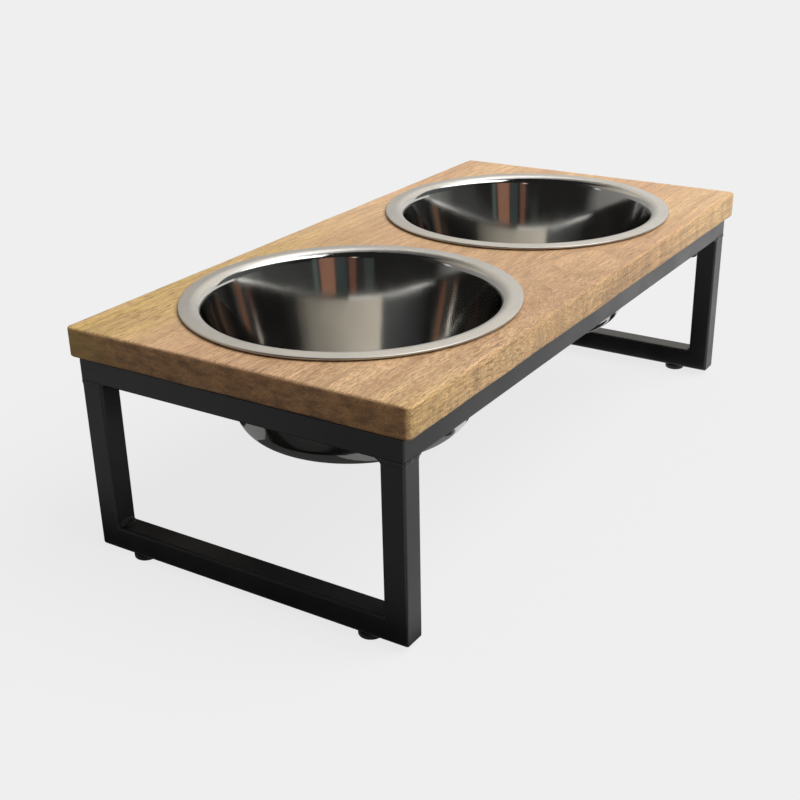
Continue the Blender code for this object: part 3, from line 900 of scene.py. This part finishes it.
def ring_mesh(settings):
    """The ring of square tube under the board, mitred at its four corners."""
    bm = bmesh.new()
    section = tube_section(TUBE, settings.tube_round)
    rows = []
    for sx, sy in QUARTERS:
        rows.append([bm.verts.new((sx * (RAIL_X + u), sy * (RAIL_Y + u), RING_MIDDLE + v))
                     for u, v in section])
    skin(bm, rows, joined=True)
    bmesh.ops.recalc_face_normals(bm, faces=bm.faces)
    dress_mitres(bm, rows, settings.mitre_round)
    return bm


def leg_loop_mesh(settings, x):
    """Two legs and the bar between them, mitred at the floor and let into the ring above."""
    bm = bmesh.new()
    section = tube_section(TUBE, settings.tube_round)
    top = RAIL_LOW.z + WELD_SINK
    rows = []
    for y, foot in ((-1, False), (-1, True), (1, True), (1, False)):
        rows.append([bm.verts.new((x * RAIL_X + v, y * (RAIL_Y + u), BAR_MIDDLE - u if foot else top))
                     for u, v in section])
    skin(bm, rows)
    cap(bm, rows[0], rows[-1])
    bmesh.ops.recalc_face_normals(bm, faces=bm.faces)
    dress_mitres(bm, rows[1:3], settings.mitre_round)
    return bm


def drill(piece, places, radius, low, high):
    """Cut upright round holes into a piece, and apply the cuts."""
    outline = [(0.0, low), (radius, low), (radius, high), (0.0, high)]
    for x, y in places:
        bit = piece_from(turned(outline, BORE_SIDES), "drill", piece.data.materials[0], location=(x, y, 0.0))
        cut = piece.modifiers.new("hole", "BOOLEAN")
        cut.operation = "DIFFERENCE"
        cut.solver = "EXACT"
        cut.object = bit
        bpy.context.view_layer.update()
        shape = piece.evaluated_get(bpy.context.evaluated_depsgraph_get())
        drilled = bpy.data.meshes.new_from_object(shape)
        piece.modifiers.remove(cut)
        piece.data = drilled
        bpy.data.objects.remove(bit, do_unlink=True)


class FEEDER_OT_stand(Operator):
    """Build the ring of tube and the two loops of legs"""
    bl_idname = "feeder.stand"
    bl_label = "Stand"

    def execute(self, context):
        settings = context.scene.feeder_stand
        fixings = context.scene.feeder_fixings
        coat = coat_finish(settings)
        ring = piece_from(ring_mesh(settings), "tube_ring", coat, sharp=40)
        settle(ring, "stand", "black_coat", "front_rail", "back_rail", "left_rail", "right_rail")
        for end, x in ENDS.items():
            loop = piece_from(leg_loop_mesh(settings, x), "leg_loop_" + end, coat, sharp=40)
            places = [(x * RAIL_X, y * GLIDE_Y) for y in SIDES.values()]
            drill(loop, places, fixings.insert_radius + fixings.hole_gap, BAR_LOW.z - DRILL_START,
                  INSERT_HIGH.z + DRILL_PAST)
            legs = ["leg_%s_%s" % (side, end) for side in SIDES]
            settle(loop, "stand", "black_coat", "base_bar_" + end, *legs)
        return {"FINISHED"}


# Welds

def weld_profile(size, ridge, inner):
    """The section of a weld as (out, down) points, blended from a dressed ridge to a full fillet."""
    steps = 8
    hollow = 2.7
    ridge_reach = 0.0013
    points = []
    for step in range(steps + 1):
        turn = math.pi / 2 * step / steps
        fillet = Vector((size * math.sin(turn) ** hollow, size * math.cos(turn) ** hollow))
        low_ridge = Vector((ridge * math.sin(2 * turn), ridge_reach * math.cos(2 * turn)))
        points.append(low_ridge.lerp(fillet, inner))
    points.append(Vector((-WELD_SINK, -WELD_SINK)))
    return points


def leg_weld_mesh(settings, x, y):
    """The weld round the top of one leg: a fillet on its two inner sides, dressed down on the outer ones."""
    bm = bmesh.new()
    fillet_start, fillet_share = 0.80, 0.18
    wander_scale = 400
    centre = Vector((x * RAIL_X, y * RAIL_Y))
    rows = []
    run = 0.0
    before = None
    for point, out in rounded_outline(centre, (TUBE / 2, TUBE / 2), settings.tube_round, 6, (24, 24)):
        run += (point - before).length if before else 0.0
        before = point
        inward = max(-out.x * x, -out.y * y)
        inner = min(1.0, max(0.0, (inward - fillet_start) / fillet_share))
        ripple = abs(math.sin(math.pi * run / settings.weld_ripple))
        wander = noise.noise(Vector((point.x * wander_scale, point.y * wander_scale, x + 3 * y)))
        size = settings.weld_leg * (0.90 + 0.10 * ripple + 0.10 * wander)
        ridge = settings.weld_ridge * (0.75 + 0.35 * ripple + 0.5 * wander)
        rows.append([bm.verts.new((point.x + out.x * o, point.y + out.y * o, RAIL_LOW.z - down))
                     for o, down in weld_profile(size, ridge, inner)])
    skin(bm, rows, joined=True)
    return bm


def bar_weld_mesh(settings, x, y):
    """The fillet weld in the corner between one leg and its bar, rippled and rounded at its ends."""
    bm = bmesh.new()
    reach = TUBE / 2 - settings.tube_round
    steps = 44
    rows = []
    for step in range(steps + 1):
        along = -reach + 2 * reach * step / steps
        end_round = math.sqrt(max(0.02, 1 - (abs(along) / reach) ** 6))
        ripple = abs(math.sin(math.pi * along / settings.weld_ripple))
        size = settings.weld_leg * end_round * (0.90 + 0.12 * ripple)
        rows.append([bm.verts.new((x * RAIL_X + along, y * (RAIL_Y - TUBE / 2 - out), BAR_HIGH.z + up))
                     for out, up in weld_profile(size, settings.weld_ridge, 1.0)])
    skin(bm, rows)
    cap(bm, rows[0], rows[-1])
    return bm


class FEEDER_OT_welds(Operator):
    """Build the weld beads at the legs' tops and in the corners of the loops"""
    bl_idname = "feeder.welds"
    bl_label = "Welds"

    def execute(self, context):
        settings = context.scene.feeder_stand
        coat = bpy.data.materials["black_powder_coat"]
        for corner, (x, y) in CORNERS.items():
            leg_weld = piece_from(leg_weld_mesh(settings, x, y), "bead_leg_" + corner, coat, sharp=60)
            settle(leg_weld, "stand", "black_coat", "weld_leg_" + corner)
            bar_weld = piece_from(bar_weld_mesh(settings, x, y), "bead_bar_" + corner, coat, sharp=60)
            settle(bar_weld, "stand", "black_coat", "weld_bar_" + corner)
        return {"FINISHED"}


# Screws

def cross_outline(span, slot):
    """The plus-shaped outline of a driver's recess."""
    far, near = span / 2, slot / 2
    points = []
    for quarter in range(4):
        turn = Matrix.Rotation(math.radians(90 * quarter), 2)
        for point in ((far, -near), (far, near), (near, near)):
            points.append(turn @ Vector(point))
    return points


def screw_mesh(settings, tip):
    """A pan-head wood screw with its head downwards and its shank up to the tip."""
    bm = bmesh.new()
    recess_taper = 0.8
    thread_share = 0.28
    thread_start = 0.0005
    height, radius = settings.screw_head_height, settings.screw_head_radius
    bend = settings.screw_head_round
    shank = settings.screw_shank_radius
    profile = arc((radius - bend, bend - height), bend, -90, 0, 6) + [(radius, 0.0), (shank, 0.0)]
    rows = [circle_row(bm, out, up, SCREW_SIDES) for out, up in profile]
    skin(bm, rows)
    cross = cross_outline(settings.recess_span, settings.recess_slot)
    mouth = [bm.verts.new((point.x, point.y, -height)) for point in cross]
    floor = [bm.verts.new((point.x * recess_taper, point.y * recess_taper, settings.recess_depth - height))
             for point in cross]
    bridge(bm, mouth, floor)
    cap(bm, floor)
    bmesh.ops.triangle_fill(bm, edges=loop_edges(bm, rows[0]) + loop_edges(bm, mouth), use_beauty=True)
    threads = thread_rows(bm, shank, shank * thread_share, settings.screw_pitch, thread_start, tip,
                          SCREW_SIDES, settings.screw_point)
    bridge(bm, rows[-1], threads[0])
    cap(bm, threads[-1])
    return bm


class FEEDER_OT_screws(Operator):
    """Build the four screws that hold the board on the ring"""
    bl_idname = "feeder.screws"
    bl_label = "Screws"

    def execute(self, context):
        settings = context.scene.feeder_fixings
        finish = screw_finish(settings)
        for place in CORNERS:
            low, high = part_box("screw_" + place)
            seat = low.z + settings.screw_head_height
            spot = ((low.x + high.x) / 2, (low.y + high.y) / 2, seat)
            screw = piece_from(screw_mesh(settings, high.z - seat), "board_screw_" + place, finish, sharp=35,
                               location=spot)
            settle(screw, "stand", "black_screw", "screw_" + place)
        return {"FINISHED"}


# Glides

def pad_mesh(settings):
    """A round pad with a rounded lower edge, a shallow ring underneath and an eased top."""
    radius = (PAD_HIGH.x - PAD_LOW.x) / 2
    height = PAD_HIGH.z - PAD_LOW.z
    bend = settings.pad_round
    dish = 0.00025
    dish_flat, dish_edge = 0.45, 0.52
    ease = 0.0004
    socket = settings.stud_radius + 0.0002
    socket_floor = height - 0.0008
    outline = [(0.0, dish), (radius * dish_flat, dish), (radius * dish_edge, 0.0)]
    outline += arc((radius - bend, bend), bend, -90, 0, 8)
    outline += arc((radius - ease, height - ease), ease, 0, 90, 4)
    outline += [(socket, height), (socket, socket_floor), (0.0, socket_floor)]
    return turned(outline, PAD_SIDES)


def stud_mesh(settings):
    """The threaded stud that stands up out of a pad."""
    bm = bmesh.new()
    radius = settings.stud_radius
    thread_share = 0.17
    tip_share = 0.8
    start, end = PAD_HIGH.z - 0.0006, STUD_HIGH.z - 0.0004
    rows = thread_rows(bm, radius, radius * thread_share, settings.stud_pitch, start, end, STUD_SIDES)
    point = [bm.verts.new((vert.co.x * tip_share, vert.co.y * tip_share, STUD_HIGH.z)) for vert in rows[-1]]
    bridge(bm, rows[-1], point)
    cap(bm, point, rows[0])
    return bm


def insert_mesh(settings):
    """The threaded insert in the bar: a sleeve with its bulged collar and eased mouth."""
    ease = 0.0003
    bevel = 0.0002
    collar_middle = 0.0025
    bore = settings.stud_radius + 0.0003
    radius = settings.insert_radius
    low, high = INSERT_LOW.z, INSERT_HIGH.z
    collar = (INSERT_HIGH.x - INSERT_LOW.x) / 2
    bulge = arc((radius, low + collar_middle), collar - radius, -90, 90, 8)
    outline = [(bore + ease, low), (radius - bevel, low), (radius, low + bevel)] + bulge
    outline += [(radius, high), (bore, high), (bore, low + ease), (bore + ease, low)]
    bm = turned(outline, BORE_SIDES)
    bmesh.ops.remove_doubles(bm, verts=bm.verts, dist=1e-6)
    return bm


class FEEDER_OT_glides(Operator):
    """Build the four glides with their studs and inserts"""
    bl_idname = "feeder.glides"
    bl_label = "Glides"

    def execute(self, context):
        settings = context.scene.feeder_fixings
        nylon = nylon_finish(settings)
        zinc = zinc_finish(settings)
        for corner, (x, y) in CORNERS.items():
            spot = (x * RAIL_X, y * GLIDE_Y, 0.0)
            body = "glide_" + corner
            pad = piece_from(pad_mesh(settings), "glide_pad_" + corner, nylon, sharp=45, location=spot)
            settle(pad, body, "black_nylon", "glide_" + corner)
            stud = piece_from(stud_mesh(settings), "threaded_stud_" + corner, zinc, sharp=50, location=spot)
            settle(stud, body, "zinc_steel", "glide_stud_" + corner)
            insert = piece_from(insert_mesh(settings), "threaded_insert_" + corner, zinc, sharp=45,
                                location=spot)
            settle(insert, "stand", "zinc_steel", "glide_insert_" + corner)
        return {"FINISHED"}


# Stage

WHITE = (1.0, 1.0, 1.0)
SENSOR_WIDTH = 36.0

# The height that the curved cards' angles are measured from, and the floor's depth below the pads
CARD_CENTRE = 0.1
FLOOR_DROP = 0.0001


def set_card(bm, name, finish, height=0.0):
    """Make a card that only reflections show."""
    card = piece_from(bm, name, finish, location=(0.0, 0.0, height))
    for kind in ("camera", "diffuse", "transmission", "volume_scatter", "shadow"):
        setattr(card, "visible_" + kind, False)


def dome_patch(name, bearings, heights, radius, finish):
    """A card curved like a piece of a dome round the object, between two bearings and two heights."""
    bm = bmesh.new()
    steps = 24
    rows = []
    for up in range(steps + 1):
        height = math.radians(heights[0] + (heights[1] - heights[0]) * up / steps)
        out, level_height = radius * math.cos(height), radius * math.sin(height)
        row = []
        for side in range(steps + 1):
            bearing = math.radians(bearings[0] + (bearings[1] - bearings[0]) * side / steps)
            row.append(bm.verts.new((out * math.cos(bearing), out * math.sin(bearing), level_height)))
        rows.append(row)
    skin(bm, rows, closed=False)
    set_card(bm, name, finish, CARD_CENTRE)


def flat_patch(name, corners, finish):
    """A flat card through four corners."""
    bm = bmesh.new()
    cap(bm, [bm.verts.new(corner) for corner in corners])
    set_card(bm, name, finish)


def bare_material(name):
    """A new material and the graph of its nodes, without a shader."""
    made = bpy.data.materials.new(name)
    made.use_nodes = True
    made.node_tree.nodes.clear()
    return made, Graph(made.node_tree)


def glow(name, tint, strength, across=None, last=None):
    """An emitting finish for a reflection card, whose strength may change evenly between two bearings."""
    made, graph = bare_material(name)
    if across:
        x, y, _ = graph.parts(graph.place())
        first, final = (math.radians(bearing) for bearing in across)
        strength = graph.add("ShaderNodeMapRange", {"Value": graph.math("ARCTAN2", y, x), "From Min": first,
                                                    "From Max": final, "To Min": strength,
                                                    "To Max": last}).outputs["Result"]
    light = graph.add("ShaderNodeEmission", {"Color": tint, "Strength": strength})
    graph.add("ShaderNodeOutputMaterial", {"Surface": light.outputs[0]})
    return made


def seen_directly(graph):
    """One for rays from the camera and for rays off metal or through glass, else nought."""
    path = graph.add("ShaderNodeLightPath").outputs
    total = path["Is Camera Ray"]
    for ray in ("Is Glossy Ray", "Is Transmission Ray"):
        total = graph.math("MAXIMUM", total, path[ray])
    return total


def split_rays(graph, others, direct):
    """One shader for the rays that see a surface directly, and another for the rest."""
    return graph.add("ShaderNodeMixShader", {0: seen_directly(graph), 1: others.outputs[0],
                                             2: direct.outputs[0]}).outputs[0]


def floor_finish(settings):
    """A pale floor that keeps the object's shadow softly, and throws little light back up."""
    made, graph = bare_material("pale_floor")
    glow_share = settings.floor_glow
    shown = graph.add("ShaderNodeBsdfDiffuse", {"Color": scaled(settings.backdrop, 1 - glow_share)})
    glowing = graph.add("ShaderNodeEmission", {"Color": settings.backdrop, "Strength": glow_share})
    both = graph.add("ShaderNodeAddShader", {0: shown.outputs[0], 1: glowing.outputs[0]})
    bounce = graph.add("ShaderNodeBsdfDiffuse", {"Color": scaled(WHITE, settings.floor_bounce)})
    graph.add("ShaderNodeOutputMaterial", {"Surface": split_rays(graph, bounce, both)})
    return made


def light_world(settings):
    """A pale background for what is seen directly, and an even fill for the rest."""
    world = bpy.data.worlds.new("studio")
    bpy.context.scene.world = world
    world.use_nodes = True
    world.node_tree.nodes.clear()
    graph = Graph(world.node_tree)
    fill = graph.add("ShaderNodeBackground", {"Color": WHITE, "Strength": settings.fill})
    pale = graph.add("ShaderNodeBackground", {"Color": settings.backdrop, "Strength": 1.0})
    graph.add("ShaderNodeOutputWorld", {"Surface": split_rays(graph, fill, pale)})


def add_key(settings):
    """A large soft key light from the front right."""
    lamp = bpy.data.lights.new("key", "SUN")
    lamp.energy = settings.key_strength
    lamp.angle = settings.key_softness
    key = bpy.data.objects.new("key", lamp)
    towards = Vector((math.cos(settings.key_height) * math.cos(settings.key_bearing),
                      math.cos(settings.key_height) * math.sin(settings.key_bearing),
                      math.sin(settings.key_height)))
    key.rotation_euler = towards.to_track_quat("Z", "Y").to_euler()
    key.visible_glossy = False
    bpy.context.scene.collection.objects.link(key)


def add_camera(settings):
    """The camera at the photograph's viewpoint."""
    lens = bpy.data.cameras.new("camera")
    lens.lens = settings.focal_length
    lens.sensor_width = SENSOR_WIDTH
    lens.shift_x = settings.shift_x
    lens.shift_y = settings.shift_y
    camera = bpy.data.objects.new("camera", lens)
    yaw, pitch, roll = settings.camera_yaw, settings.camera_pitch, settings.camera_roll
    look = Vector((math.cos(yaw) * math.cos(pitch), math.sin(yaw) * math.cos(pitch), math.sin(pitch)))
    right = Vector((math.sin(yaw), -math.cos(yaw), 0.0))
    up = right.cross(look)
    across = right * math.cos(roll) + up * math.sin(roll)
    upward = up * math.cos(roll) - right * math.sin(roll)
    turn = Matrix((across, upward, -look)).transposed()
    camera.matrix_world = Matrix.Translation(settings.camera_place) @ turn.to_4x4()
    bpy.context.scene.collection.objects.link(camera)
    bpy.context.scene.camera = camera


# Reflection cards as (name, colour, strength, bearings, heights, distance), with angles in degrees
ROOM_CARDS = (
    ("room_low_right", (1.0, 0.98, 0.92), 0.020, (143, 200), (0.5, 12.5), 2.6),
    ("room_high", (1.0, 0.98, 0.93), 0.022, (150, 262), (12, 46), 2.6),
    ("room_right", (1.0, 0.98, 0.93), 0.04, (134, 150), (12, 46), 2.6),
    ("ceiling", (1.0, 0.98, 0.93), 0.02, (-180, 180), (45, 90), 2.8),
    ("key_box", (1.0, 0.98, 0.95), 2.7, (-58, 45), (52, 84), 2.4),
    ("key_side", (1.0, 0.99, 0.96), 3.6, (-122, -30), (43, 64), 2.4),
    ("lamp", (1.0, 0.95, 0.86), 3.2, (208, 212), (18.4, 20.4), 2.2),
    ("cloth_teal", (0.62, 0.80, 0.74), 0.18, (240, 244), (6, 26), 2.3),
    ("cloth_orange", (1.0, 0.50, 0.33), 0.36, (226, 238), (6, 26), 2.3),
    ("cloth_dark", (0.70, 0.95, 0.90), 0.075, (217, 225), (6, 26), 2.3),
    ("cloth_red", (1.0, 0.44, 0.30), 0.20, (209.5, 214.5), (6, 26), 2.3),
    ("cloth_grey", (0.85, 1.0, 0.97), 0.07, (195, 203), (5, 14), 2.3),
)
# Cards whose strength changes evenly: name, colour, strengths, bearings, heights, distance
SWEEP_CARDS = (
    ("sweep_high", (1.0, 0.91, 0.78), (1.46, 0.47), (-17, 112), (24, 46), 2.6),
    ("sweep_high_edge", (1.0, 0.91, 0.78), (0.47, 0.12), (112, 134), (24, 46), 2.6),
    ("sweep_low", (1.0, 0.98, 0.94), (1.02, 0.90), (-42, 20), (0.5, 25), 2.7),
    ("sweep_low_middle", (1.0, 0.98, 0.94), (0.76, 0.39), (20, 55), (0.5, 25), 2.7),
    ("sweep_low_left", (1.0, 0.98, 0.94), (0.48, 0.27), (55, 128), (0.5, 25), 2.7),
    ("sweep_edge", (1.0, 0.99, 0.95), (0.27, 0.03), (128, 143), (0.5, 12.5), 2.65),
    ("room_low", (1.0, 1.0, 0.97), (0.030, 0.075), (-160, -75), (0.5, 12.5), 2.65),
    ("room_left_low", (1.0, 1.0, 0.97), (0.075, 0.32), (-75, -42), (0.5, 12.5), 2.65),
    ("room_left", (0.92, 0.98, 1.0), (0.04, 0.17), (-98, -17), (12, 46), 2.65),
)
# A dark upright card behind the stand, painted shade for the space under the board's back edge that only
# reflections show: strength, first and last corner in plan, lowest and highest level
BACK_CARD = (0.02, (-0.20, 0.13), (0.20, 0.13), (0.002, 0.118))
# Cards on the floor: name, strength, lowest and highest corner in plan, height over the floor. The dark ones
# are painted shadow of the floor beside and under the stand, and the lit ones are painted light on it, seen
# only in reflections
FLOOR_CARDS = (
    ("floor_painted_shadow_wide", 0.24, (-0.80, -0.10), (-0.02, 0.70), 0.0002),
    ("floor_painted_shadow_left", 0.45, (-0.37, 0.05), (-0.24, 0.30), 0.0003),
    ("floor_painted_shadow_near", 0.03, (-0.226, -0.30), (-0.198, 0.35), 0.0003),
    ("floor_painted_shadow_under_left", 0.05, (-0.185, -0.03), (-0.03, 0.09), 0.0003),
    ("floor_painted_shadow_under_right", 0.03, (0.02, -0.09), (0.175, 0.12), 0.0003),
    ("floor_lit_left", 0.70, (-0.19, -0.90), (-0.03, -0.12), 0.0002),
    ("floor_lit", 0.97, (-0.03, -0.90), (0.25, -0.12), 0.0002),
    ("floor_lit_right", 1.25, (0.25, -0.90), (1.10, -0.12), 0.0002),
)


def set_cards():
    """The dark room and the lit sweep that the steel and the coat reflect, with the floor's painted shadow
    and light and the painted shade behind the stand, hidden from all other rays.
    """
    for name, tint, strength, bearings, heights, distance in ROOM_CARDS:
        dome_patch(name, bearings, heights, distance, glow(name, tint, strength))
    for name, tint, (first, last), bearings, heights, distance in SWEEP_CARDS:
        dome_patch(name, bearings, heights, distance, glow(name, tint, first, bearings, last))
    # Painted shadow and painted light on the floor, which only reflections show
    for name, strength, low, high, height in FLOOR_CARDS:
        corners = (low, (high[0], low[1]), high, (low[0], high[1]))
        flat_patch(name, [(*corner, height) for corner in corners], glow(name, WHITE, strength))
    # The painted shade behind the stand
    strength, start, end, (foot, head) = BACK_CARD
    corners = ((*start, foot), (*end, foot), (*end, head), (*start, head))
    flat_patch("back_painted_shade_card", corners, glow("back_painted_shade_card", WHITE, strength))


class FEEDER_OT_stage(Operator):
    """Set out the floor, the lights, the reflection cards and the camera"""
    bl_idname = "feeder.stage"
    bl_label = "Stage"

    def execute(self, context):
        settings = context.scene.feeder_stage
        disc = turned([(0.0, -FLOOR_DROP), (settings.floor_radius, -FLOOR_DROP)], FLOOR_SIDES)
        floor = piece_from(disc, "floor", floor_finish(settings))
        light_world(settings)
        add_key(settings)
        add_camera(settings)
        set_cards()
        context.scene.view_settings.view_transform = "Standard"
        return {"FINISHED"}


# Panel and registration

OPERATORS = (FEEDER_OT_board, FEEDER_OT_bowls, FEEDER_OT_stand, FEEDER_OT_welds, FEEDER_OT_screws,
             FEEDER_OT_glides, FEEDER_OT_stage)


class FEEDER_PT_sidebar(Panel):
    """The pieces of the feeder, one button each"""
    bl_idname = "FEEDER_PT_sidebar"
    bl_label = "Pet Feeder"
    bl_space_type = "VIEW_3D"
    bl_region_type = "UI"
    bl_category = "Pet Feeder"

    def draw(self, context):
        for operator in OPERATORS:
            self.layout.operator(operator.bl_idname)
        for group in SETTINGS:
            box = self.layout.box()
            for name in getattr(context.scene, group).__annotations__:
                box.prop(getattr(context.scene, group), name)


def register():
    for group, settings in SETTINGS.items():
        bpy.utils.register_class(settings)
        setattr(bpy.types.Scene, group, PointerProperty(type=settings))
    for operator in OPERATORS:
        bpy.utils.register_class(operator)
    bpy.utils.register_class(FEEDER_PT_sidebar)


def unregister():
    bpy.utils.unregister_class(FEEDER_PT_sidebar)
    for operator in reversed(OPERATORS):
        bpy.utils.unregister_class(operator)
    for group, settings in SETTINGS.items():
        delattr(bpy.types.Scene, group)
        bpy.utils.unregister_class(settings)


def main():
    register()
    bpy.ops.feeder.board()
    bpy.ops.feeder.bowls()
    bpy.ops.feeder.stand()
    bpy.ops.feeder.welds()
    bpy.ops.feeder.screws()
    bpy.ops.feeder.glides()
    bpy.ops.feeder.stage()


if __name__ == "__main__":
    main()
